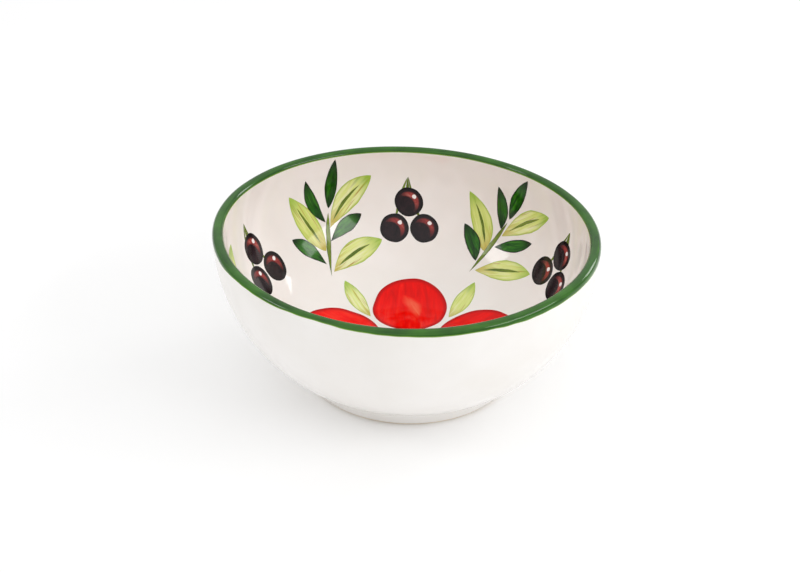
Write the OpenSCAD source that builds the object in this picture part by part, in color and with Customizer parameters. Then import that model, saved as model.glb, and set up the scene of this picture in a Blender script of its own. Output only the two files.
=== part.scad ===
// Small glazed earthenware dish for olives: a round thrown bowl on a low foot ring,
// white glaze inside, outside and underneath, a green band over the lip, and a painted
// border of sprigs and berries round a five-petal flower on the floor of the bowl.
// Millimetres, +Z up, origin on the table at the middle of the foot.

/* [Bowl] */
// Outside diameter at the widest level
rim_d = 130; // [118:1:146]
// Height from the table to the top of the lip
bowl_h = 56; // [48:1:60]
// Drop from the top of the lip to the widest level
belly_drop = 3.5; // [2.5:0.5:7]
// Thickness of the finished wall at the widest level
wall_t = 3.7; // [3:0.1:5]
// Thickness of the finished base at the middle of the bowl
base_t = 4; // [3:0.1:6]
// How far the outside wall's arc would run on below the table
outer_dip = 3; // [2:0.1:4]
// How far the inside wall's arc would run on below the bowl's floor
floor_dip = 1; // [0.4:0.1:2]

/* [Foot] */
// Outside diameter of the foot ring at the table
foot_d = 74; // [66:1:80]
// Width of the foot ring at the table
foot_w = 5.6; // [4:0.1:8]
// Height of the recess inside the foot ring
recess_h = 3.2; // [2.4:0.1:4]
// How far the foot ring leans out from the table to its top
foot_flare = 1.6; // [0.4:0.1:3]
// Width of the worn edges of the foot ring
foot_edge = 0.7; // [0.3:0.1:1]

/* [Glaze] */
// Thickness of the fired glaze
glaze_t = 0.4; // [0.25:0.05:0.6]
// Height of bare clay left at the bottom of the foot ring
bare_h = 1.2; // [0.9:0.1:1.8]
// Reach of the green band down the outside of the lip
band_out_h = 2.4; // [1.8:0.1:5]
// Reach of the green band down the inside of the lip
band_in_h = 1.5; // [1.2:0.1:4]

/* [Painting] */
// Thickness of the painted colours
paint_t = 0.3; // [0.15:0.05:0.4]
// Number of sprigs round the wall, and of petals on the floor
repeats = 5; // [3:1:5]
// Length of a sprig's stem
stem_l = 24; // [22:1:28]
// Width of a painted stem
stem_w = 1.9; // [1.8:0.1:3]
// Length of a pale leaf
pale_l = 24; // [16:1:26]
// Width of a pale leaf
pale_w = 8.5; // [5:0.5:9.5]
// Length of a dark leaf
dark_l = 16; // [12:1:18]
// Width of a dark leaf
dark_w = 5.4; // [4:0.2:7]
// Diameter of a berry
berry_d = 11; // [8:0.5:12]
// Width of a berry's stalk
stalk_w = 1.2; // [1:0.1:1.6]
// Diameter of a petal
petal_d = 27.4; // [20:0.2:28]
// Distance of a petal's middle from the middle of the flower
petal_reach = 25; // [24:0.5:28]
// Diameter of the flower's dark eye
eye_d = 14; // [8:0.5:15]

/* [Hidden] */
$fn = 120;
// Steps in the large circles that leaf outlines are cut from
leaf_steps = 720;
// Overrun of every cut
over = 1;

// The wall in section: one arc outside and one inside, both with their middles at the widest level
widest_z = bowl_h - belly_drop;
floor_z = recess_h + base_t;
outer_arc_r = widest_z + outer_dip;
outer_arc_x = rim_d / 2 - outer_arc_r;
inner_arc_r = widest_z - floor_z + floor_dip;
inner_arc_x = rim_d / 2 - wall_t - inner_arc_r;

// The lip: a crowned top over the middle of the wall
lip_crown_share = 0.65;
lip_crown_r = wall_t * lip_crown_share;
lip_rise = belly_drop - wall_t / 2;
lip_out_r = outer_arc_x + sqrt(pow(outer_arc_r, 2) - pow(lip_rise, 2));
lip_in_r = inner_arc_x + sqrt(pow(inner_arc_r, 2) - pow(lip_rise, 2));
lip_mid_r = (lip_out_r + lip_in_r) / 2;

// The foot ring runs up into the wall
foot_top_r = foot_d / 2 + foot_flare;
foot_top_z = widest_z - sqrt(pow(outer_arc_r, 2) - pow(foot_top_r - outer_arc_x, 2)) + wall_t;
foot_in_r = foot_d / 2 - foot_w;

// Places of the painted border on the wall, as angles below the widest level
sprig_level_angle = 37;
sprig_lean_angle = 20;
berry_level_angle = 30;
first_sprig_angle = 54;
sector_angle = 360 / repeats;
// Leaves of a sprig: place along the stem, angle from the stem, gap to the stem
pale_place_shares = [0.04, 0.36, 0.72];
pale_angles = [58, -47, 40];
dark_place_shares = [0.16, 0.52, 0.8, 1];
dark_angles = [-62, 52, -36, 4];
leaf_gap_share = 0.8;
// Pale leaves have a painted midrib
vein_start_share = 0.14;
vein_l_share = 0.66;
vein_w_share = 0.135;
// Berries hang in threes round a common middle
cluster_count = 3;
cluster_reach_share = 0.6;
stalk_meet_share = 1.5;
flush_share = 0.76;
flush_shift_share = 0.26;
flush_angle = 135;
highlight_share = 0.15;
highlight_reach_share = 0.27;
// Painted details of the flower
light_l_share = 0.56;
light_w_share = 0.24;
light_angle = 22;
stamen_count = 15;
stamen_d_share = 0.11;
stamen_reach_share = 0.62;
centre_clear_share = stamen_reach_share + stamen_d_share;
sepal_l_share = 0.62;
sepal_w_share = 0.24;
sepal_reach_share = 0.98;
// Depth of a painted motif's outline through the wall's curve
motif_depth = inner_arc_r / 3;

// Section of everything inside the outside wall's arc, drawn in by a given amount: the base is
// flat inside the foot ring, and the arc runs on outside it
module outer_section(inset) {
    intersection() {
        union() {
            translate([outer_arc_x, widest_z]) circle(outer_arc_r - inset);
            translate([0, -over]) square([max(outer_arc_x, over), widest_z]);
        }
        union() {
            translate([0, recess_h + glaze_t]) square([rim_d, bowl_h]);
            translate([foot_d / 2 - glaze_t, 0]) square([rim_d, bowl_h]);
        }
    }
}

// Section of the hollow of the bowl, let out by a given amount
module hollow_section(outset) {
    intersection() {
        union() {
            translate([inner_arc_x, widest_z]) circle(inner_arc_r + outset);
            translate([0, -over]) square([max(inner_arc_x, over), rim_d]);
        }
        translate([0, floor_z - outset]) square([rim_d, bowl_h]);
    }
}

// Section of everything below the crown of the lip, drawn in by a given amount
module crown_section(inset) {
    crown_z = bowl_h - lip_crown_r;
    translate([lip_mid_r, crown_z]) circle(lip_crown_r - inset);
    translate([0, -over]) square([rim_d, crown_z + over]);
}

// Section of the foot ring and of its root inside the wall, let out on the outside by a given amount
module foot_section(outset) {
    in_r = foot_in_r + glaze_t;
    out_r = foot_d / 2 - glaze_t + outset;
    polygon([
        [in_r + foot_edge, 0],
        [out_r - foot_edge, 0],
        [out_r, foot_edge],
        [out_r + foot_flare, foot_top_z],
        [in_r, foot_top_z],
        [in_r, foot_edge]
    ]);
}

// Section of the wall between the lip and the base, with the glaze taken off by a given amount
module wall_section(inset) {
    difference() {
        intersection() {
            outer_section(inset);
            crown_section(inset);
        }
        hollow_section(inset);
    }
}

// Section below a level of the lip
module below_section(level) {
    translate([0, -over]) square([rim_d, level + over]);
}

// Thin shell of paint over the whole inside of the bowl, below the green band
module paint_shell() {
    rotate_extrude()
        intersection() {
            difference() {
                hollow_section(0);
                hollow_section(-paint_t);
            }
            below_section(bowl_h - band_in_h);
        }
}

// Outline drawn flat against the inside wall, with +Y up the wall, cut through the paint
module on_wall(turn, drop) {
    rotate([0, 0, turn])
        translate([inner_arc_x, 0, widest_z])
            rotate([0, drop, 0])
                translate([inner_arc_r - motif_depth, 0, 0])
                    rotate([90, 0, 90])
                        linear_extrude(2 * motif_depth) children();
}

// Outline drawn on the floor of the bowl, cut through the paint
module on_floor() {
    translate([0, 0, floor_z - over]) linear_extrude(motif_depth) children();
}

// Pointed leaf from its foot at the origin to its tip up +Y, of two equal arcs
module leaf(length, width) {
    arc_r = (pow(length, 2) + pow(width, 2)) / (4 * width);
    translate([0, length / 2])
        intersection() {
            translate([arc_r - width / 2, 0]) circle(arc_r, $fn = leaf_steps);
            translate([width / 2 - arc_r, 0]) circle(arc_r, $fn = leaf_steps);
        }
}

// Outlines of one sprig, with the middle of its stem at the origin
module along_stem(shares, angles) {
    rotate(sprig_lean_angle)
        for (i = [0 : len(shares) - 1])
            translate([0, (shares[i] - 1 / 2) * stem_l])
                rotate(angles[i])
                    translate([0, stem_w * leaf_gap_share]) children();
}

module sprig_pale() {
    along_stem(pale_place_shares, pale_angles) leaf(pale_l, pale_w);
}

module sprig_dark() {
    along_stem(dark_place_shares, dark_angles) leaf(dark_l, dark_w);
}

module sprig_veins() {
    along_stem(pale_place_shares, pale_angles)
        translate([0, pale_l * vein_start_share]) leaf(pale_l * vein_l_share, pale_w * vein_w_share);
}

module sprig_stem() {
    rotate(sprig_lean_angle) translate([0, -stem_l / 2]) leaf(stem_l, stem_w);
}

module sprig_outline() {
    sprig_pale();
    sprig_dark();
    sprig_stem();
}

// Outline repeated at the place of each sprig on the wall
module each_sprig() {
    for (i = [0 : repeats - 1])
        on_wall(first_sprig_angle + i * sector_angle, sprig_level_angle) children();
}

// Outline repeated at the place of each cluster of berries, half way between the sprigs
module each_cluster() {
    for (i = [0 : repeats - 1])
        on_wall(first_sprig_angle + (i + 1 / 2) * sector_angle, berry_level_angle) children();
}

// Places of the berries of one cluster
module each_berry() {
    for (i = [0 : cluster_count - 1])
        rotate(90 + i * 360 / cluster_count)
            translate([berry_d * cluster_reach_share, 0])
                rotate(-90 - i * 360 / cluster_count) children();
}

module berry_outline() {
    each_berry() circle(berry_d / 2);
}

module flush_outline() {
    each_berry() difference() {
        circle(berry_d * flush_share / 2);
        rotate(flush_angle) translate([-berry_d * flush_shift_share, 0]) circle(berry_d * flush_share / 2);
    }
}

module highlight_outline() {
    each_berry()
        rotate(flush_angle)
            translate([berry_d * highlight_reach_share, 0]) circle(berry_d * highlight_share / 2);
}

// Stalks of a cluster, from each berry to one point above it
module stalk_outline() {
    meet = [0, berry_d * stalk_meet_share];
    for (i = [0 : cluster_count - 1]) {
        berry_angle = 90 + i * 360 / cluster_count;
        start = berry_d * cluster_reach_share * [cos(berry_angle), sin(berry_angle)];
        run = meet - start;
        translate(start) rotate(-atan2(run.x, run.y)) leaf(norm(run), stalk_w);
    }
}

module each_sector(first_angle) {
    for (i = [0 : repeats - 1]) rotate([0, 0, first_angle + i * sector_angle]) children();
}

// Petals stand under the berries, and sepals under the sprigs
module each_petal() {
    each_sector(first_sprig_angle + sector_angle / 2) translate([petal_reach, 0]) children();
}

// Petals stop clear of the ring of stamens
module petal_outline() {
    difference() {
        each_petal() circle(petal_d / 2);
        circle(eye_d * centre_clear_share);
    }
}

module light_outline() {
    each_petal()
        rotate(light_angle - 90)
            translate([0, -petal_d * light_l_share / 2])
                leaf(petal_d * light_l_share, petal_d * light_w_share);
}

module sepal_outline() {
    each_sector(first_sprig_angle)
        translate([petal_reach * sepal_reach_share, 0])
            rotate(-90) leaf(petal_d * sepal_l_share, petal_d * sepal_w_share);
}

// The clay under the glaze: wall, lip and base in one thrown piece
module clay_body() {
    color("peru") rotate_extrude() wall_section(glaze_t);
}

// Ring of clay luted under the base, ground flat where it stands
module foot_ring() {
    color("tan")
        rotate_extrude()
            difference() {
                foot_section(0);
                outer_section(glaze_t);
            }
}

// White glaze from the green band down to the foot, short of the table
module outside_glaze() {
    color("white")
        rotate_extrude()
            difference() {
                intersection() {
                    union() {
                        outer_section(0);
                        foot_section(glaze_t);
                    }
                    translate([0, bare_h]) square([rim_d, bowl_h - band_out_h - bare_h]);
                }
                outer_section(glaze_t);
                foot_section(0);
                translate([0, -over]) square([foot_in_r + foot_w / 2, foot_top_z]);
            }
}

// White glaze over the inside, up to the green band
module inside_glaze() {
    color("ivory")
        rotate_extrude()
            intersection() {
                difference() {
                    hollow_section(glaze_t);
                    hollow_section(0);
                }
                below_section(bowl_h - band_in_h);
            }
}

// White glaze inside the foot ring, short of the table
module underside_glaze() {
    color("snow")
        rotate_extrude()
            difference() {
                translate([0, bare_h]) square([foot_in_r + glaze_t, recess_h + glaze_t - bare_h]);
                translate([0, -over]) square([foot_in_r, recess_h + over]);
            }
}

// Green glaze brushed over the lip
module rim_band() {
    color("seagreen")
        rotate_extrude()
            intersection() {
                difference() {
                    wall_section(0);
                    wall_section(glaze_t);
                }
                union() {
                    translate([0, bowl_h - band_in_h]) square([lip_mid_r, bowl_h]);
                    translate([lip_mid_r, bowl_h - band_out_h]) square([rim_d, bowl_h]);
                }
            }
}

// Yellow-green wash of the larger leaves
module pale_leaves() {
    color("darkkhaki")
        intersection() {
            paint_shell();
            each_sprig()
                difference() {
                    sprig_pale();
                    sprig_dark();
                    sprig_veins();
                }
        }
}

// Dark green leaves, painted over the pale ones
module dark_leaves() {
    color("darkgreen")
        intersection() {
            paint_shell();
            each_sprig() sprig_dark();
        }
}

// Midribs of the pale leaves
module leaf_veins() {
    color("olivedrab")
        intersection() {
            paint_shell();
            each_sprig() sprig_veins();
        }
}

// Stems of the sprigs
module sprig_stems() {
    color("darkolivegreen")
        intersection() {
            paint_shell();
            each_sprig() sprig_stem();
        }
}

// Near-black berries in threes between the sprigs
module berries() {
    color("black")
        intersection() {
            paint_shell();
            each_cluster()
                difference() {
                    berry_outline();
                    flush_outline();
                }
        }
}

// Brick-red crescent on each berry
module berry_flush() {
    color("firebrick")
        intersection() {
            paint_shell();
            each_cluster()
                difference() {
                    flush_outline();
                    highlight_outline();
                }
        }
}

// White dot on each berry
module berry_highlights() {
    color("white")
        intersection() {
            paint_shell();
            each_cluster() highlight_outline();
        }
}

// Stalks that join the berries of a cluster
module berry_stalks() {
    color("saddlebrown")
        intersection() {
            paint_shell();
            each_cluster()
                difference() {
                    stalk_outline();
                    berry_outline();
                }
        }
}

// Red petals on the floor of the bowl
module petals() {
    color("red")
        intersection() {
            paint_shell();
            on_floor()
                difference() {
                    petal_outline();
                    light_outline();
                }
        }
}

// Coral stroke on each petal
module petal_lights() {
    color("tomato")
        intersection() {
            paint_shell();
            on_floor() light_outline();
        }
}

// Dark eye of the flower and its ring of stamens
module flower_centre() {
    color("darkslategray")
        intersection() {
            paint_shell();
            on_floor() {
                circle(eye_d / 2);
                for (i = [0 : stamen_count - 1])
                    rotate(i * 360 / stamen_count)
                        translate([eye_d * stamen_reach_share, 0]) circle(eye_d * stamen_d_share / 2);
            }
        }
}

// Pale green leaf tips between the petals, stopped where they reach a sprig
module flower_sepals() {
    color("yellowgreen")
        difference() {
            intersection() {
                paint_shell();
                on_floor()
                    difference() {
                        sepal_outline();
                        each_petal() circle(petal_d / 2);
                    }
            }
            each_sprig() sprig_outline();
        }
}

clay_body();
foot_ring();
outside_glaze();
inside_glaze();
underside_glaze();
rim_band();
pale_leaves();
dark_leaves();
leaf_veins();
sprig_stems();
berries();
berry_flush();
berry_highlights();
berry_stalks();
petals();
petal_lights();
flower_centre();
flower_sepals();
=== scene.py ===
import math
import random

import bmesh
import bpy
from mathutils import Matrix, Vector, noise


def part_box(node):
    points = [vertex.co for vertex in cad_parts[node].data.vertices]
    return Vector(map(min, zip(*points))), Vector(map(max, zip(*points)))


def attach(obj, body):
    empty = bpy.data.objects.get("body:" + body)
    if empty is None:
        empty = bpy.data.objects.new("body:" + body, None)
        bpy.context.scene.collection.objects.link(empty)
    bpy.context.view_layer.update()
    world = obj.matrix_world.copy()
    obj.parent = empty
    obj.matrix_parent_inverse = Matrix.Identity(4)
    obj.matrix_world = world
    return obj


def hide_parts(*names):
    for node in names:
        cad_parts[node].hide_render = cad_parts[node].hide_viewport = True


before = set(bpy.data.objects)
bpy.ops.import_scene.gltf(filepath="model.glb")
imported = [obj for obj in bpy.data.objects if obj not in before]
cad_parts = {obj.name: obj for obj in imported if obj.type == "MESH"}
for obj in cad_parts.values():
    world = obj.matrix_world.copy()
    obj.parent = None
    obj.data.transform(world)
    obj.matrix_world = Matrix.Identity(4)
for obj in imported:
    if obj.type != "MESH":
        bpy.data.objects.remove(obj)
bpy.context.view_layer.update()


# Clay body: the wall, lip and base of the dish, thrown in one piece from buff earthenware and
# biscuit fired. The coats hide it all over, and it gives them the wall to lie on.
MM = 0.001
rim_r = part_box("outside_glaze")[1].x
bowl_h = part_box("rim_band")[1].z
base_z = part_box("clay_body")[0].z
floor_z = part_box("flower_centre")[0].z
wall_t = 3.7 * MM
glaze_t = 0.4 * MM
belly_drop = 3.5 * MM
outer_dip = 3 * MM
floor_dip = 1 * MM

# The wall in section is two arcs with their middles at the widest level. Run on, the outer one would
# bottom out below the table and the inner one below the floor, by the two dips
widest_z = bowl_h - belly_drop
outer_arc_r = widest_z + outer_dip
outer_mid = Vector((rim_r - outer_arc_r, widest_z))
inner_arc_r = widest_z - floor_z + floor_dip
inner_mid = Vector((rim_r - wall_t - inner_arc_r, widest_z))

# A full-round lip is tangent to both arcs
lip_r = wall_t / 2
lip_rise = belly_drop - lip_r
lip_out_angle = math.asin(lip_rise / (outer_arc_r - lip_r))
lip_in_angle = math.asin(lip_rise / (inner_arc_r + lip_r))
lip_mid = outer_mid + (outer_arc_r - lip_r) * Vector((math.cos(lip_out_angle), math.sin(lip_out_angle)))
lip_turn = math.pi + lip_in_angle - lip_out_angle

# The floor runs up into the wall on an arc that is tangent to both
blend_r = 30 * MM
blend_mid = Vector((0, floor_z + blend_r))
blend_mid.x = inner_mid.x + math.sqrt((inner_arc_r - blend_r) ** 2 - (widest_z - blend_mid.y) ** 2)
blend_angle = math.atan2(blend_mid.x - inner_mid.x, widest_z - blend_mid.y)
inner_turn = math.pi / 2 - blend_angle + lip_in_angle

# The lip settled in the kiln: high on the left, low in front, a little off centre and not quite round
lip_tilt = math.tan(math.radians(1.2))
lip_shift = Vector((-1.3, 0.8)) * MM
lip_dip = 2.2 * MM
lip_dip_turn = math.radians(262)
out_of_round = 0.42 * MM
oval_turn = math.radians(-17.2)
hand_ripple = 0.1 * MM
ripple_span = 15 * MM
settles_from = 5 * MM
wheel_facets = 320
arc_pieces = 64
merge_gap = 0.0005 * MM
sharp_angle = math.radians(40)


def draw(start, *runs):
    """A line in the XZ plane: straight runs to (r, z) points, and arcs of (middle, turn, pieces)."""
    bm = bmesh.new()
    end = bm.verts.new((start[0], 0, start[1]))
    for run in runs:
        if len(run) == 2:
            end = bmesh.ops.extrude_vert_indiv(bm, verts=[end])["verts"][0]
            end.co = (run[0], 0, run[1])
        else:
            middle, turn, pieces = run
            end = bmesh.ops.spin(bm, geom=[end], cent=(middle[0], 0, middle[1]), axis=(0, -1, 0),
                                 angle=turn, steps=pieces)["geom_last"][0]
    return bm


def throw(bm, facets=wheel_facets):
    """Closes a drawn line and spins it about the axis of the wheel into a solid."""
    ends = [v for v in bm.verts if len(v.link_edges) == 1]
    if any(v.co.x > merge_gap for v in ends):
        bm.edges.new(ends)
    bmesh.ops.remove_doubles(bm, verts=bm.verts[:], dist=merge_gap)
    bmesh.ops.spin(bm, geom=bm.verts[:] + bm.edges[:], axis=(0, 0, 1), angle=math.tau,
                   steps=facets, use_merge=True)
    bmesh.ops.remove_doubles(bm, verts=bm.verts[:], dist=merge_gap)
    bmesh.ops.recalc_face_normals(bm, faces=bm.faces[:])
    return bm


def ease(value, low, high):
    """A smooth rise from 0 at low to 1 at high."""
    share = min(max((value - low) / (high - low), 0), 1)
    return share * share * (3 - 2 * share)


def dip(turn):
    """How far the lip sank at a turn round the dish."""
    return lip_dip * max(math.cos(turn - lip_dip_turn), 0) ** 2


def settle(bm):
    """Moves a mesh as hand and kiln left the dish, alike for the clay and for every coat on it."""
    for v in bm.verts:
        high = ease(v.co.z, settles_from, bowl_h)
        turn = math.atan2(v.co.y, v.co.x)
        out = Vector((v.co.x, v.co.y, v.co.z - widest_z)).normalized()
        swell = out_of_round * high * math.cos(2 * (turn - oval_turn))
        swell += hand_ripple * ease(v.co.z, settles_from, widest_z / 2) * noise.noise(v.co / ripple_span)
        sunk = lip_tilt * v.co.x + dip(turn)
        v.co += swell * out + high * Vector((lip_shift.x, lip_shift.y, -sunk))


def piece(name, bm, finish, slot, *nodes):
    """Settles a mesh and makes it a piece of the dish, in the place of its CAD nodes."""
    settle(bm)
    bm.normal_update()
    for face in bm.faces:
        face.smooth = True
    for edge in bm.edges:
        edge.smooth = edge.calc_face_angle(0) < sharp_angle
    mesh = bpy.data.meshes.new(name)
    bm.to_mesh(mesh)
    bm.free()
    mesh.materials.append(finish)
    made = bpy.data.objects.new(name, mesh)
    bpy.context.scene.collection.objects.link(made)
    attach(made, "root")
    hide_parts(*nodes)


def srgb(code):
    """Linear colour, with full opacity, of an sRGB hex value."""
    parts = [int(code[i:i + 2], 16) / 255 for i in (1, 3, 5)]
    return [*(p / 12.92 if p <= 0.04045 else ((p + 0.055) / 1.055) ** 2.4 for p in parts), 1]


def new_finish(name):
    """A material with no nodes yet."""
    finish = bpy.data.materials.new(name)
    finish.use_nodes = True
    finish.node_tree.nodes.clear()
    return finish


def add(finish, kind, inputs, out=0, stops=(), **settings):
    """Adds a node with its settings, ramp stops, values and links, and gives one of its outputs."""
    tree = finish.node_tree
    made = tree.nodes.new("ShaderNode" + kind)
    for name, value in settings.items():
        setattr(made, name, value)
    for i, (place, code) in enumerate(stops):
        stop = made.color_ramp.elements[i] if i < 2 else made.color_ramp.elements.new(place)
        stop.position = place
        stop.color = srgb(code)
    for key, value in inputs.items():
        if isinstance(value, bpy.types.NodeSocket):
            tree.links.new(value, made.inputs[key])
        else:
            made.inputs[key].default_value = value
    return made.outputs[out] if made.outputs else None


# Biscuit earthenware: a dry, open clay that scatters light, with a fine grit and a warm uneven tone
clay_grit = 0.5 * MM
clay_grit_depth = 0.05 * MM
clay_cloud = 14 * MM
biscuit = new_finish("biscuit_earthenware")
clay_place = add(biscuit, "TexCoord", {}, "Object")
clay_tone = add(biscuit, "TexNoise", {"Vector": clay_place, "Scale": 1 / clay_cloud, "Detail": 8})
clay_grain = add(biscuit, "TexNoise", {"Vector": clay_place, "Scale": 1 / clay_grit, "Detail": 3})
clay_colour = add(biscuit, "ValToRGB", {"Fac": clay_tone}, stops=[(0.3, "#d6c6ae"), (0.7, "#e8dcc9")])
clay_bump = add(biscuit, "Bump", {"Height": clay_grain, "Strength": 0.6, "Distance": clay_grit_depth})
clay_skin = add(biscuit, "BsdfPrincipled", {"Base Color": clay_colour, "Roughness": 0.9,
                                            "Normal": clay_bump})
add(biscuit, "OutputMaterial", {"Surface": clay_skin})

clay_arc_r = outer_arc_r - glaze_t
clay_low_angle = math.asin((base_z - widest_z) / clay_arc_r)
clay_line = draw(
    (0, base_z),
    outer_mid + clay_arc_r * Vector((math.cos(clay_low_angle), math.sin(clay_low_angle))),
    (outer_mid, lip_out_angle - clay_low_angle, arc_pieces // 2),
    (lip_mid, lip_turn, arc_pieces // 4),
    (inner_mid, -inner_turn, arc_pieces // 2),
    (blend_mid, -blend_angle, arc_pieces // 8),
    (0, floor_z - glaze_t))
# Hidden all over, the body needs only a third of the facets
piece("thrown_body", throw(clay_line, wheel_facets // 3), biscuit, "bisque", "clay_body")


# Foot ring: a ring of the same clay turned under the base, leaning out a little, ground flat on a
# stone after the firing so that the dish stands still, and left bare where it stands.
foot_r = 37 * MM
foot_w = 5.6 * MM
foot_flare = 1.6 * MM
foot_edge = 0.7 * MM
foot_top_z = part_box("foot_ring")[1].z
foot_lean = math.atan2(foot_flare, foot_top_z - foot_edge)
flank_up = Vector((math.sin(foot_lean), math.cos(foot_lean)))
flank_out = Vector((math.cos(foot_lean), -math.sin(foot_lean)))


def flank(level, inset=0):
    """Point on the outside of the foot ring at a level, drawn in by a given amount."""
    return Vector((foot_r, foot_edge)) + (level - foot_edge) / flank_up.y * flank_up - inset * flank_out


# The ring's top is buried half way into the base
foot_in_r = foot_r - foot_w + glaze_t
buried_z = base_z + wall_t / 2
foot_ring = throw(draw((foot_in_r, 0), flank(0, glaze_t), flank(buried_z, glaze_t), (foot_in_r, buried_z)))
standing_edges = [e for e in foot_ring.edges
                  if all(v.co.z < merge_gap for v in e.verts)
                  and abs(e.verts[0].co.xy.length - e.verts[1].co.xy.length) < merge_gap]
bmesh.ops.bevel(foot_ring, geom=standing_edges, offset=foot_edge, offset_type="OFFSET", affect="EDGES",
                segments=4, profile=0.5, material=-1)
piece("foot_ring_clay", foot_ring, biscuit, "bisque", "foot_ring")


# White glaze: the dish was dipped in a tin-white glaze, and its foot wiped before the firing.
# The coat fills the crease over the foot and ends in a soft roll just above the table.
band_out_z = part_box("rim_band")[0].z
band_in_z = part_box("inside_glaze")[1].z
bare_h = 0.8 * MM
crease_r = 2 * MM
under_band = 0.5 * MM

# Tin-white glaze: a thick opaque glass with the soft orange peel of a dipped coat, in wide clouds that are
# a little warmer and glossier where it is thin
peel_span = 2.6 * MM
peel_depth = 0.012 * MM
cloud_span = 24 * MM
white = new_finish("tin_white_glaze")
white_place = add(white, "TexCoord", {}, "Object")
white_cloud = add(white, "TexNoise", {"Vector": white_place, "Scale": 1 / cloud_span, "Detail": 3})
white_peel = add(white, "TexNoise", {"Vector": white_place, "Scale": 1 / peel_span, "Detail": 1})
white_tone = add(white, "ValToRGB", {"Fac": white_cloud}, stops=[(0.3, "#f2eee9"), (0.7, "#f8f5f2")])
white_gloss = add(white, "MapRange", {"Value": white_cloud, "To Min": 0.05, "To Max": 0.11})
white_bump = add(white, "Bump", {"Height": white_peel, "Strength": 0.5, "Distance": peel_depth})
white_skin = add(white, "BsdfPrincipled", {"Base Color": white_tone, "Roughness": white_gloss,
                                           "IOR": 1.52, "Normal": white_bump})
add(white, "OutputMaterial", {"Surface": white_skin})


def crease_point(inset):
    """Point where the wall's arc and the foot's flank meet, both drawn in by a given amount."""
    start = flank(foot_edge, inset) - outer_mid
    up = -start.dot(flank_up)
    up -= math.sqrt(up ** 2 - start.length_squared + (outer_arc_r - inset) ** 2)
    return outer_mid + start + up * flank_up


def bearing(run):
    """Angle of a run in the section, from straight outwards."""
    return math.atan2(run.y, run.x)


# The fillet in the crease is tangent to the wall's arc and to the foot's flank
crease_mid = crease_point(-crease_r)
crease_wall_angle = bearing(crease_mid - outer_mid)
crease_turn = math.pi + bearing(flank_out) - bearing(outer_mid - crease_mid)

# Outside, the coat runs up under the green band, over the turn of the lip
glaze_top_angle = math.radians(60)
glaze_lip_turn = glaze_top_angle - lip_out_angle
glaze_back = crease_point(glaze_t)
outside_line = draw(
    lip_mid + lip_r * Vector((math.cos(glaze_top_angle), math.sin(glaze_top_angle))),
    (lip_mid, -glaze_lip_turn, arc_pieces // 8),
    (outer_mid, crease_wall_angle - lip_out_angle, arc_pieces),
    (crease_mid, crease_turn, arc_pieces // 8),
    flank(bare_h + glaze_t / 2),
    (flank(bare_h + glaze_t / 2, glaze_t / 2), -math.pi, arc_pieces // 8),
    glaze_back,
    (outer_mid, lip_out_angle - bearing(glaze_back - outer_mid), arc_pieces // 2),
    (lip_mid, glaze_lip_turn, arc_pieces // 8))
piece("white_outside", throw(outside_line), white, "white_glaze", "outside_glaze")

# Inside, the coat runs unbroken from under the green band on the lip to the middle of the floor
inside_top_angle = math.asin((band_in_z + under_band - lip_mid.y) / lip_r)
inside_top = Vector((-math.cos(inside_top_angle), math.sin(inside_top_angle)))
inside_lip_turn = lip_in_angle + inside_top_angle
inside_line = draw(
    (0, floor_z),
    (blend_mid.x / 2, floor_z),
    (blend_mid.x, floor_z),
    (blend_mid, blend_angle, arc_pieces // 2),
    (inner_mid, inner_turn, arc_pieces),
    (lip_mid, -inside_lip_turn, arc_pieces // 8),
    lip_mid + (lip_r - glaze_t) * inside_top,
    (lip_mid, inside_lip_turn, arc_pieces // 8),
    (inner_mid, -inner_turn, arc_pieces // 2),
    (blend_mid, -blend_angle, arc_pieces // 8),
    (0, floor_z - glaze_t))
piece("white_inside", throw(inside_line), white, "white_glaze", "inside_glaze")

# Underneath, the recess inside the foot ring is glazed too, with a filled corner
recess_z = base_z - glaze_t
recess_r = foot_in_r - glaze_t
corner_r = 1 * MM
underside_line = draw(
    (0, recess_z),
    (recess_r / 2, recess_z),
    (recess_r - corner_r, recess_z),
    (Vector((recess_r - corner_r, recess_z - corner_r)), -math.pi / 2, arc_pieces // 8),
    (recess_r, bare_h + glaze_t / 2),
    (Vector((recess_r + glaze_t / 2, bare_h + glaze_t / 2)), math.pi, arc_pieces // 8),
    (recess_r + glaze_t, base_z),
    (0, base_z))
piece("white_underside", throw(underside_line), white, "white_glaze", "underside_glaze")


# Green band: a green glaze brushed over the lip on a turning wheel, two or three turns thick.
# It is deep on the crown, thin and yellower along its edges, and the brush left both edges wavy.
band_lift = 0.05 * MM
band_edge_lift = 0.012 * MM
band_edge_power = 6
band_pieces = 36
band_wave = 0.45 * MM
band_wave_span = 22 * MM
band_ripple_span = 5 * MM
ripple_share = 0.4
inner_wave_share = 0.5

# Copper-green glaze: a clear green glass over white, so it deepens with its thickness, with long faint
# streaks along the brush's way
brush_hair = 0.35 * MM
brush_sweep = 16 * MM
green_pool = 9 * MM
green = new_finish("copper_green_glaze")
green_place = add(green, "TexCoord", {}, "Object")
green_across = add(green, "Attribute", {}, "Vector", attribute_name="share")
green_share = add(green, "SeparateXYZ", {"Vector": green_across}, "X")
green_way = add(green, "Mapping", {"Vector": green_place,
                                   "Scale": (1 / brush_sweep, 1 / brush_sweep, 1 / brush_hair)})
green_streaks = add(green, "TexNoise", {"Vector": green_way, "Scale": 1, "Detail": 3})
green_cloud = add(green, "TexNoise", {"Vector": green_place, "Scale": 1 / green_pool, "Detail": 4})
green_sum = add(green, "Math", {0: green_streaks, 1: green_cloud}, operation="ADD")
green_depth = add(green, "Math", {0: green_sum, 1: 0.5}, operation="MULTIPLY")
green_tone = add(green, "ValToRGB", {"Fac": green_depth}, stops=[(0.36, "#194709"), (0.64, "#387018")])
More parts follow.
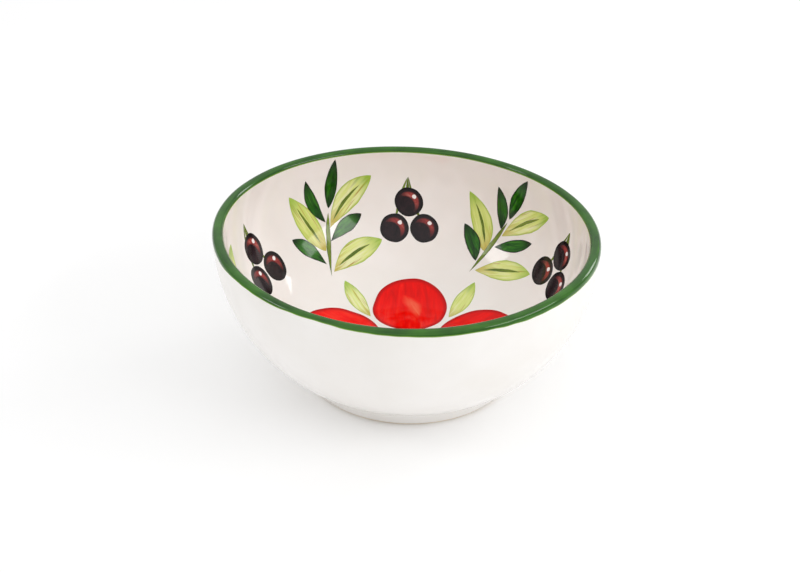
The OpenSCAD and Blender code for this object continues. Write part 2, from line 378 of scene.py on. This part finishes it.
green_thin = add(green, "MapRange", {"Value": green_share, "From Min": 0.84, "From Max": 1},
                 interpolation_type="SMOOTHSTEP")
green_colour = add(green, "Mix", {0: green_thin, 6: green_tone, 7: srgb("#8fb648")}, 2, data_type="RGBA")
green_skin = add(green, "BsdfPrincipled", {"Base Color": green_colour, "Roughness": 0.08, "IOR": 1.52,
                                           "Specular IOR Level": 0.38})
add(green, "OutputMaterial", {"Surface": green_skin})

band_in = lip_r * (math.pi / 2 - math.asin((band_in_z - lip_mid.y) / lip_r))
lip_quarter = lip_r * (math.pi / 2 - lip_out_angle)
band_out = lip_quarter + outer_arc_r * (lip_out_angle - math.asin((band_out_z - widest_z) / outer_arc_r))

# The outer edge is drawn up where the lip sank, and most in one thin place at the left in front
drawn_up_share = 0.35
thin_place = 0.9 * MM
thin_place_turn = math.radians(238)
thin_place_power = 8


def on_lip(down, lift):
    """Point of the section at a way down from the crown of the lip, outwards if it is positive."""
    if down < lip_quarter:
        angle = math.pi / 2 - down / lip_r
        return lip_mid + (lip_r + lift) * Vector((math.cos(angle), math.sin(angle)))
    angle = lip_out_angle - (down - lip_quarter) / outer_arc_r
    return outer_mid + (outer_arc_r + lift) * Vector((math.cos(angle), math.sin(angle)))


# The first line only carries the band's pieces, and the loop below puts every point in its place
band = draw(on_lip(band_out, 0), (lip_mid, math.pi, band_pieces))
band_share = band.verts.layers.float_vector.new("share")
for i, v in enumerate(band.verts):
    v[band_share] = (abs(2 * i / band_pieces - 1), i / band_pieces, 0)
bmesh.ops.spin(band, geom=band.verts[:] + band.edges[:], axis=(0, 0, 1), angle=math.tau,
               steps=2 * wheel_facets, use_merge=True)
bmesh.ops.remove_doubles(band, verts=band.verts[:], dist=merge_gap)
for v in band.verts:
    rim, across, _ = v[band_share]
    way = v.co.xy.normalized()
    turn = math.atan2(way.y, way.x)
    wander = noise.noise(Vector((*way, 0)) * rim_r / band_wave_span)
    wander += ripple_share * noise.noise(Vector((*way, 1)) * rim_r / band_ripple_span)
    inner_wander = inner_wave_share * noise.noise(Vector((*way, 2)) * rim_r / band_wave_span)
    thinned = thin_place * max(math.cos(turn - thin_place_turn), 0) ** thin_place_power
    outer_end = band_out - drawn_up_share * dip(turn) - thinned + band_wave * wander
    inner_end = band_in + band_wave * inner_wander
    lift = band_edge_lift + band_lift * (1 - rim ** band_edge_power)
    r, z = on_lip(outer_end - across * (outer_end + inner_end), lift)
    v.co = (r * way.x, r * way.y, z)
bmesh.ops.recalc_face_normals(band, faces=band.faces[:])
band.normal_update()
if sum(f.normal.z * f.calc_area() for f in band.faces) < 0:
    bmesh.ops.reverse_faces(band, faces=band.faces[:])
bmesh.ops.solidify(band, geom=band.faces[:], thickness=glaze_t)
piece("green_lip", band, green, "green_glaze", "rim_band")


# Sprigs: five leaning sprigs round the wall, each a stem with three broad pale leaves and four narrow
# dark ones. They are brushed on the raw glaze, stroke by stroke, and melt into it in the firing.
repeats = 5
first_turn = math.radians(54)
sector = math.tau / repeats
sprig_drop = math.radians(37)
sprig_lean = math.radians(20)
stem_l = 24 * MM
stem_w = 1.9 * MM
stem_level = 0.05 * MM
leaf_gap = 1.5 * MM
pale_l = 24 * MM
pale_w = 8.5 * MM
pale_level = 0.014 * MM
dark_l = 16 * MM
dark_w = 5.4 * MM
dark_level = 0.034 * MM
vein_w = 1.15 * MM
vein_level = 0.03 * MM
vein_span = (0.14, 0.8)
leaf_belly = 0.85
leaf_belly_range = 0.5
leaf_fullness = 0.8
leaf_tip_share = 0.06
edge_waves = 4
line_rough = 0.3
paint_depth = 0.15 * MM
paint_crown = 0.012 * MM
paint_edge_power = 4
lay_tries = 9

# One draw for each stroke sends it to a place of its own in the noise of its edge, streaks and hairs
edges_apart = 40
streaks_apart = 50
hairs_apart = 90
hair_fineness = 2.5

# Each leaf has its share of the way up the stem and its angle from it, in degrees
pale_leaves = [(0.04, 58), (0.36, -47), (0.72, 40)]
dark_leaves = [(0.16, -62), (0.52, 52), (0.8, -36), (1, 4)]

# No two strokes are alike: the hand varies their angle in degrees, and bend, length and width as shares.
# Two dark leaves in three bow upwards, as all the pale ones do
hand = random.Random(7)
pale_angles = (-4, 4)
pale_bends = (0.03, 0.09)
pale_lengths = (0.95, 1.03)
pale_widths = (0.92, 1.08)
dark_angles = (-5, 5)
dark_bends = (0, 0.09)
dark_bend_sides = (-1, 2)
dark_lengths = (0.95, 1.06)
dark_widths = (0.88, 1.1)
stem_bends = (-0.03, 0.03)


def on_wall(turn, drop):
    """Gives the function that lays a flat point, x along the wall, y up it and z off it, on the inside."""
    place = Matrix.Rotation(turn, 4, "Z") @ Matrix.Translation((inner_mid.x, 0, inner_mid.y))
    place = place @ Matrix.Rotation(drop, 4, "Y")

    def lay(point):
        # The reach is corrected until the point lies on the wall
        reach = inner_arc_r
        for _ in range(lay_tries):
            laid = place @ Vector((reach, point.x, point.y))
            reach += inner_arc_r - point.z - math.hypot(laid.xy.length - inner_mid.x, laid.z - inner_mid.y)
        return laid

    return lay


def new_coat():
    """An empty coat of paint, whose points know their place in their stroke."""
    bm = bmesh.new()
    bm.verts.layers.float_vector.new("flat")
    bm.verts.layers.float_vector.new("share")
    return bm


def dab(bm, lay, place, shape, lift, columns=8, rows=20):
    """One dab of paint: shape turns a square into its outline, and lay sets it on the dish."""
    flat = bm.verts.layers.float_vector["flat"]
    share = bm.verts.layers.float_vector["share"]
    own = hand.random()
    for v in bmesh.ops.create_grid(bm, x_segments=columns, y_segments=rows, size=0.5)["verts"]:
        u, t = v.co.x + 0.5, v.co.y + 0.5
        x, y, rim = shape(u, t, own)
        v[flat] = (x, y, own)
        v[share] = (rim, t, own)
        off = lift + paint_crown * (1 - rim ** paint_edge_power)
        v.co = lay(place @ Vector((x, y, off)))


def leaf(length, width, bend=0.0, rough=0.08, span=(0, 1)):
    """Outline of a brushed leaf from its foot to its tip, or of a line down a span of it."""

    def shape(u, t, own):
        side = 2 * u - 1
        down = span[0] + t * (span[1] - span[0])
        belly = leaf_belly + leaf_belly_range * own
        half = width / 2 * max(math.sin(math.pi * t ** belly), 0) ** leaf_fullness
        uneven = 1 + rough * noise.fractal(Vector((side, edge_waves * t, edges_apart * own)), 1, 2, 3)
        sway = bend * length * 4 * down * (1 - down)
        rim = max(abs(side), 1 - min(t, 1 - t) / leaf_tip_share)
        return side * half * uneven + sway, down * length, rim

    return shape


def seat(bm):
    """Closes the tips of strokes, faces them inwards, ends them at the green band and gives them a back."""
    bmesh.ops.remove_doubles(bm, verts=bm.verts[:], dist=merge_gap)
    bm.normal_update()
    above = Vector((0, 0, bowl_h))
    turned = [f for f in bm.faces if f.normal.dot(above - f.calc_center_median()) < 0]
    bmesh.ops.reverse_faces(bm, faces=turned)
    bmesh.ops.bisect_plane(bm, geom=bm.verts[:] + bm.edges[:] + bm.faces[:], plane_co=(0, 0, band_in_z),
                           plane_no=(0, 0, 1), clear_outer=True)
    bmesh.ops.solidify(bm, geom=bm.faces[:], thickness=paint_depth)
    return bm


def paint(name, tones, rim, rim_share, streak_w, streak_l, foot=None, tip=None, fleck=None, shine=0.3):
    """Brushed colour under a clear glaze: streaks along the stroke, a pooled rim, and a wet glassy skin."""
    finish = new_finish(name)
    flat = add(finish, "Attribute", {}, "Vector", attribute_name="flat")
    share = add(finish, "Attribute", {}, "Vector", attribute_name="share")
    way = add(finish, "Mapping", {"Vector": flat, "Scale": (1 / streak_w, 1 / streak_l, streaks_apart)})
    streaks = add(finish, "TexNoise", {"Vector": way, "Scale": 1, "Detail": 5, "Roughness": 0.6,
                                       "Distortion": 0.6})
    along = add(finish, "SeparateXYZ", {"Vector": share}, "Y")
    edge = add(finish, "SeparateXYZ", {"Vector": share}, "X")
    own = add(finish, "SeparateXYZ", {"Vector": share}, "Z")
    load = add(finish, "MapRange", {"Value": own, "To Min": -0.1, "To Max": 0.1})
    loaded = add(finish, "Math", {0: streaks, 1: load}, operation="ADD")
    colour = add(finish, "ValToRGB", {"Fac": loaded}, stops=tones)
    ragged = add(finish, "MapRange", {"Value": streaks, "To Min": -0.3, "To Max": 0.3})
    reach = add(finish, "Math", {0: along, 1: ragged}, operation="ADD")
    pooled = add(finish, "Math", {0: ragged, 1: rim_share, 2: edge}, operation="MULTIPLY_ADD")
    fine_way = add(finish, "Mapping", {"Vector": flat,
                                       "Scale": (hair_fineness / streak_w, 1 / streak_l, hairs_apart)})
    hairs = add(finish, "TexNoise", {"Vector": fine_way, "Scale": 1, "Detail": 2, "Distortion": 0.4})
    for code, value, low, high in [
            (fleck, hairs, 0.6, 0.7),
            (foot, reach, 0.4, 0),
            (tip, reach, 0.65, 1),
            (rim, pooled, 1 - rim_share, 1)]:
        if code:
            near = add(finish, "MapRange", {"Value": value, "From Min": low, "From Max": high},
                       interpolation_type="SMOOTHSTEP")
            colour = add(finish, "Mix", {0: near, 6: colour, 7: srgb(code)}, 2, data_type="RGBA")
    skin = add(finish, "BsdfPrincipled", {"Base Color": colour, "Roughness": 0.08, "IOR": 1.52,
                                          "Specular IOR Level": shine})
    add(finish, "OutputMaterial", {"Surface": skin})
    return finish


def along_stem(share, angle):
    """Place of a leaf's foot on its stem, in the flat layout of a sprig."""
    place = Matrix.Rotation(sprig_lean, 4, "Z") @ Matrix.Translation((0, (share - 0.5) * stem_l, 0))
    return place @ Matrix.Rotation(math.radians(angle), 4, "Z") @ Matrix.Translation((0, leaf_gap, 0))


# Pale wash: a thin yellow-green colour, broken by the brush, with hairs of rust and greener where it pooled
pale_green = paint("yellow_green_wash", [(0.3, "#cbdc6c"), (0.52, "#e2eb94"), (0.74, "#f3f5cb")],
                   rim="#a3bf43", rim_share=0.22, streak_w=1.3 * MM, streak_l=15 * MM,
                   foot="#c4b456", tip="#9cc048", fleck="#b79a48")
# Dark green: a thick colour, almost black where it pooled at the rim and where the brush was lifted
dark_green = paint("dark_leaf_green", [(0.32, "#0f3d04"), (0.5, "#1f6008"), (0.72, "#41881c")],
                   rim="#061604", rim_share=0.3, streak_w=1.1 * MM, streak_l=7 * MM,
                   foot="#0c2c06", tip="#0a2406")
# Olive line: a thin brown-green colour drawn with the point of the brush
olive_green = paint("olive_line_green", [(0.3, "#4d6419"), (0.7, "#7f9634")],
                    rim="#3a4f16", rim_share=0.4, streak_w=0.6 * MM, streak_l=6 * MM)

pale_coat = new_coat()
vein_coat = new_coat()
stem_coat = new_coat()
dark_coat = new_coat()
for i in range(repeats):
    sprig_wall = on_wall(first_turn + i * sector, sprig_drop)
    for share, angle in pale_leaves:
        place = along_stem(share, angle + hand.uniform(*pale_angles))
        bend = math.copysign(hand.uniform(*pale_bends), angle)
        length = pale_l * hand.uniform(*pale_lengths)
        blade = leaf(length, pale_w * hand.uniform(*pale_widths), bend)
        midrib = leaf(length, vein_w, bend, line_rough, vein_span)
        dab(pale_coat, sprig_wall, place, blade, pale_level, columns=10, rows=30)
        dab(vein_coat, sprig_wall, place, midrib, vein_level, columns=4, rows=30)
    for share, angle in dark_leaves:
        bend = math.copysign(hand.uniform(*dark_bends), hand.uniform(*dark_bend_sides) * angle)
        place = along_stem(share, angle + hand.uniform(*dark_angles))
        blade = leaf(dark_l * hand.uniform(*dark_lengths), dark_w * hand.uniform(*dark_widths), bend)
        dab(dark_coat, sprig_wall, place, blade, dark_level, rows=26)
    place = Matrix.Rotation(sprig_lean, 4, "Z") @ Matrix.Translation((0, -stem_l / 2, 0))
    stem = leaf(stem_l, stem_w, hand.uniform(*stem_bends), line_rough)
    dab(stem_coat, sprig_wall, place, stem, stem_level, columns=4, rows=36)
piece("pale_leaf_wash", seat(pale_coat), pale_green, "pale_green_paint", "pale_leaves")
piece("leaf_midribs", seat(vein_coat), olive_green, "olive_green_paint", "leaf_veins")
piece("dark_leaf_strokes", seat(dark_coat), dark_green, "dark_green_paint", "dark_leaves")
piece("stem_strokes", seat(stem_coat), olive_green, "olive_green_paint", "sprig_stems")


# Berries: dark round berries in threes between the sprigs, on stalks that meet above them. Each is one
# full dab, with a brick-red crescent worked into it while wet and a touch of white for the shine.
cluster_drop = math.radians(30)
cluster_of = 3
berry_r = 5.5 * MM
berry_reach = 6.6 * MM
berry_level = 0.03 * MM
stalk_w = 1.2 * MM
stalk_meet = Vector((0, 16.5, 0)) * MM
stalk_span = (0, 0.97)
stalk_bend = 0.04
stalk_level = 0.014 * MM
blush_r = 4.18 * MM
blush_shift = 2.86 * MM
blush_angle = math.radians(135)
blush_level = 0.045 * MM
glint_r = 0.83 * MM
glint_reach = 2.97 * MM
glint_level = 0.06 * MM


def disc(radius, rough=0.05):
    """Outline of a round dab, from its middle out."""

    def shape(u, t, own):
        x, y = math.cos(math.tau * u), math.sin(math.tau * u)
        uneven = 1 + rough * noise.fractal(Vector((x, y, edges_apart * own)), 1.2, 2, 2)
        return t * radius * uneven * x, t * radius * uneven * y, t

    return shape


def crescent(radius, shift):
    """Outline of a crescent: what a disc leaves uncovered of another one, thickest towards +X."""
    reach = math.acos(-shift / 2 / radius)

    def shape(u, t, own):
        angle = reach * (2 * u - 1)
        inner = -shift * math.cos(angle) + math.sqrt(radius ** 2 - (shift * math.sin(angle)) ** 2)
        r = inner + t * (radius - inner)
        rim = max(abs(2 * t - 1), abs(2 * u - 1))
        return r * math.cos(angle), r * math.sin(angle), rim

    return shape


# Berry black: a thick brown-black colour that shows plum where it is thinner
berry_black = paint("berry_black", [(0.3, "#161013"), (0.6, "#281a1e"), (0.8, "#3a2228")],
                    rim="#0e0a0b", rim_share=0.3, streak_w=2.4 * MM, streak_l=4 * MM)
# Brick red: a thin iron red worked into the wet black, so that it fades into it
brick_red = paint("brick_red_blush", [(0.3, "#7d2a2c"), (0.55, "#a8443f"), (0.75, "#c9746a")],
                  rim="#2c1a1d", rim_share=0.75, streak_w=1.6 * MM, streak_l=3 * MM)
# White touch: a thick dot of tin white
white_touch = paint("tin_white_touch", [(0.3, "#f2eeec"), (0.7, "#fbf9f8")],
                    rim="#e6d8d6", rim_share=0.3, streak_w=0.5 * MM, streak_l=0.5 * MM)

berry_coat = new_coat()
blush_coat = new_coat()
glint_coat = new_coat()
stalk_coat = new_coat()
for i in range(repeats):
    cluster_wall = on_wall(first_turn + (i + 0.5) * sector, cluster_drop)
    for k in range(cluster_of):
        angle = math.pi / 2 + math.tau * k / cluster_of
        middle = berry_reach * Vector((math.cos(angle), math.sin(angle), 0))
        run = stalk_meet - middle
        berry_place = Matrix.Translation(middle)
        stalk_place = berry_place @ Matrix.Rotation(math.atan2(-run.x, run.y), 4, "Z")
        blush_place = berry_place @ Matrix.Rotation(blush_angle, 4, "Z")
        glint_place = blush_place @ Matrix.Translation((glint_reach, 0, 0))
        stalk = leaf(run.length, stalk_w, stalk_bend, line_rough, stalk_span)
        blush = crescent(blush_r, blush_shift)
        glint = disc(glint_r, rough=0.2)
        dab(stalk_coat, cluster_wall, stalk_place, stalk, stalk_level, columns=4)
        dab(berry_coat, cluster_wall, berry_place, disc(berry_r), berry_level, columns=48, rows=8)
        dab(blush_coat, cluster_wall, blush_place, blush, blush_level, columns=24, rows=8)
        dab(glint_coat, cluster_wall, glint_place, glint, glint_level, columns=16, rows=4)
piece("stalk_strokes", seat(stalk_coat), olive_green, "olive_green_paint", "berry_stalks")
piece("berry_rounds", seat(berry_coat), berry_black, "black_paint", "berries")
piece("berry_blush", seat(blush_coat), brick_red, "brick_red_paint", "berry_flush")
piece("berry_glints", seat(glint_coat), white_touch, "white_paint", "berry_highlights")


# Flower: five round red petals on the floor of the bowl, each with a coral stroke, round a dark eye
# with a ring of stamens. The tips of pale green sepals show between the petals.
petal_r = 13.7 * MM
petal_reach = 25 * MM
petal_level = 0.03 * MM
coral_l = 15.3 * MM
coral_w = 6.6 * MM
coral_bend = 0.13
coral_turn = math.radians(22)
coral_level = 0.045 * MM
eye_r = 7 * MM
eye_level = 0.03 * MM
stamens = 15
stamen_r = 0.77 * MM
stamen_reach = 8.7 * MM
sepal_l = 17 * MM
sepal_w = 6.6 * MM
sepal_reach = 24.5 * MM
sepal_level = 0.014 * MM


def on_floor(point):
    """Lays a flat point on the floor of the bowl and up the start of its wall."""
    r = point.xy.length
    if r < blend_mid.x:
        level = floor_z
    elif r < inner_mid.x + inner_arc_r * math.sin(blend_angle):
        level = blend_mid.y - math.sqrt(blend_r ** 2 - (r - blend_mid.x) ** 2)
    else:
        level = inner_mid.y - math.sqrt(inner_arc_r ** 2 - (r - inner_mid.x) ** 2)
    return Vector((point.x, point.y, level + point.z))


def from_eye(turn, reach):
    """Place on the floor at a turn and a reach from the middle of the flower, with x pointing outwards."""
    return Matrix.Rotation(turn, 4, "Z") @ Matrix.Translation((reach, 0, 0))


# Petal red: a full vermilion, crimson where it pooled along the rim, streaked by the brush
petal_red = paint("petal_vermilion", [(0.3, "#e00300"), (0.55, "#fa0800"), (0.8, "#ff3a22")],
                  rim="#b80308", rim_share=0.14, streak_w=2.6 * MM, streak_l=16 * MM, shine=0.15)
# Coral: the same red let down with white, and worked into it
coral = paint("coral_stroke", [(0.3, "#fa3018"), (0.7, "#ff6f50")],
              rim="#f80d02", rim_share=0.9, streak_w=1.4 * MM, streak_l=12 * MM,
              foot="#f80d02", tip="#f80d02", shine=0.15)
# Eye colour: green and black brushed together
eye_dark = paint("eye_green_black", [(0.3, "#10180c"), (0.55, "#1b2d14"), (0.75, "#35501f")],
                 rim="#0c120a", rim_share=0.25, streak_w=1.6 * MM, streak_l=1.6 * MM)

sepal_coat = new_coat()
petal_coat = new_coat()
coral_coat = new_coat()
eye_coat = new_coat()
tip_outwards = Matrix.Rotation(-math.pi / 2, 4, "Z")
dab(eye_coat, on_floor, Matrix.Identity(4), disc(eye_r, rough=0.1), eye_level, columns=64, rows=8)
for i in range(repeats):
    sepal_place = from_eye(first_turn + i * sector, sepal_reach) @ tip_outwards
    petal_place = from_eye(first_turn + (i + 0.5) * sector, petal_reach) @ tip_outwards
    coral_place = petal_place @ Matrix.Rotation(coral_turn, 4, "Z")
    coral_place = coral_place @ Matrix.Translation((0, -coral_l / 2, 0))
    stroke = leaf(coral_l, coral_w, coral_bend, rough=0.2)
    dab(sepal_coat, on_floor, sepal_place, leaf(sepal_l, sepal_w), sepal_level)
    dab(petal_coat, on_floor, petal_place, disc(petal_r, rough=0.06), petal_level, columns=96, rows=16)
    dab(coral_coat, on_floor, coral_place, stroke, coral_level)
for i in range(stamens):
    stamen_place = from_eye(math.tau * i / stamens, stamen_reach)
    dab(eye_coat, on_floor, stamen_place, disc(stamen_r, rough=0.25), eye_level, columns=16, rows=4)
piece("sepal_tips", seat(sepal_coat), pale_green, "pale_green_paint", "flower_sepals")
piece("red_petals", seat(petal_coat), petal_red, "red_paint", "petals")
piece("coral_strokes", seat(coral_coat), coral, "coral_paint", "petal_lights")
piece("flower_eye", seat(eye_coat), eye_dark, "eye_paint", "flower_centre")


# Floor, light and camera: a matt white table, lit a little from below, in a white room that is brightest
# overhead. A key strip stands at the right in front, a weaker box at the left and a window behind right.
floor_half = 12.0
card_patch = 167 * MM
floor = bmesh.new()
bmesh.ops.create_grid(floor, x_segments=8, y_segments=8, size=floor_half)
floor_mesh = bpy.data.meshes.new("studio_floor")
floor.to_mesh(floor_mesh)
floor.free()
studio_floor = bpy.data.objects.new("studio_floor", floor_mesh)
bpy.context.scene.collection.objects.link(studio_floor)
# Matt white card, faintly uneven
card = new_finish("white_card")
card_place = add(card, "TexCoord", {}, "Object")
card_cloud = add(card, "TexNoise", {"Vector": card_place, "Scale": 1 / card_patch, "Detail": 2})
card_tone = add(card, "ValToRGB", {"Fac": card_cloud}, stops=[(0.3, "#eeeeee"), (0.7, "#f1f1f1")])
card_skin = add(card, "BsdfPrincipled", {"Base Color": card_tone, "Roughness": 0.8,
                                         "Emission Color": srgb("#ffffff"), "Emission Strength": 0.115})
add(card, "OutputMaterial", {"Surface": card_skin})
floor_mesh.materials.append(card)

room = bpy.data.worlds.new("white_room")
room.use_nodes = True
room.node_tree.nodes.clear()
room_way = add(room, "TexCoord", {}, "Generated")
room_high = add(room, "SeparateXYZ", {"Vector": room_way}, "Z")
room_light = add(room, "MapRange", {"Value": room_high, "From Min": 0.1, "From Max": 0.85, "To Min": 0.66,
                                    "To Max": 1.27},
                 interpolation_type="SMOOTHSTEP")
room_glow = add(room, "Background", {"Strength": room_light})
add(room, "OutputWorld", {"Surface": room_glow})
bpy.context.scene.world = room

# Each box has its turn and rise in degrees, its distance, width and height in metres, and its radiance
look_at = Vector((0, 0, 30 * MM))
for name, turn, rise, away, wide, tall, radiance in [
        ("key_box", -22, 32, 1.1, 0.8, 0.2, 5.5),
        ("left_box", 190, 38, 1.1, 0.25, 0.25, 4.5),
        ("window", 36, 21, 1.3, 0.35, 0.3, 5.5)]:
    lamp = bpy.data.lights.new(name, "AREA")
    lamp.shape = "RECTANGLE"
    lamp.size = wide
    lamp.size_y = tall
    lamp.energy = radiance * math.pi * wide * tall
    box = bpy.data.objects.new(name, lamp)
    turn, rise = math.radians(turn), math.radians(rise)
    way = Vector((math.cos(turn) * math.cos(rise), math.sin(turn) * math.cos(rise), math.sin(rise)))
    facing = way.to_track_quat("Z", "Y").to_matrix().to_4x4()
    box.matrix_world = Matrix.Translation(look_at + away * way) @ facing
    bpy.context.scene.collection.objects.link(box)

# The camera was fitted to the rim, the foot and the outline in the photograph, and rolls a little
image_w = 800
lens_px = 1296
camera_away = 0.45
camera_rise = math.radians(30.8)
camera_roll = math.radians(0.67)
middle_px = Vector((10, 5.9))
view = bpy.data.cameras.new("view")
view.sensor_width = 36
view.lens = view.sensor_width * lens_px / image_w
view.shift_x = -middle_px.x / image_w
view.shift_y = middle_px.y / image_w
camera = bpy.data.objects.new("view", view)
camera_way = Vector((0, -math.cos(camera_rise), math.sin(camera_rise)))
camera.matrix_world = (Matrix.Translation(look_at + camera_away * camera_way)
                       @ Matrix.Rotation(math.pi / 2 - camera_rise, 4, "X")
                       @ Matrix.Rotation(camera_roll, 4, "Z"))
bpy.context.scene.collection.objects.link(camera)
bpy.context.scene.camera = camera
bpy.context.scene.view_settings.view_transform = "Standard"
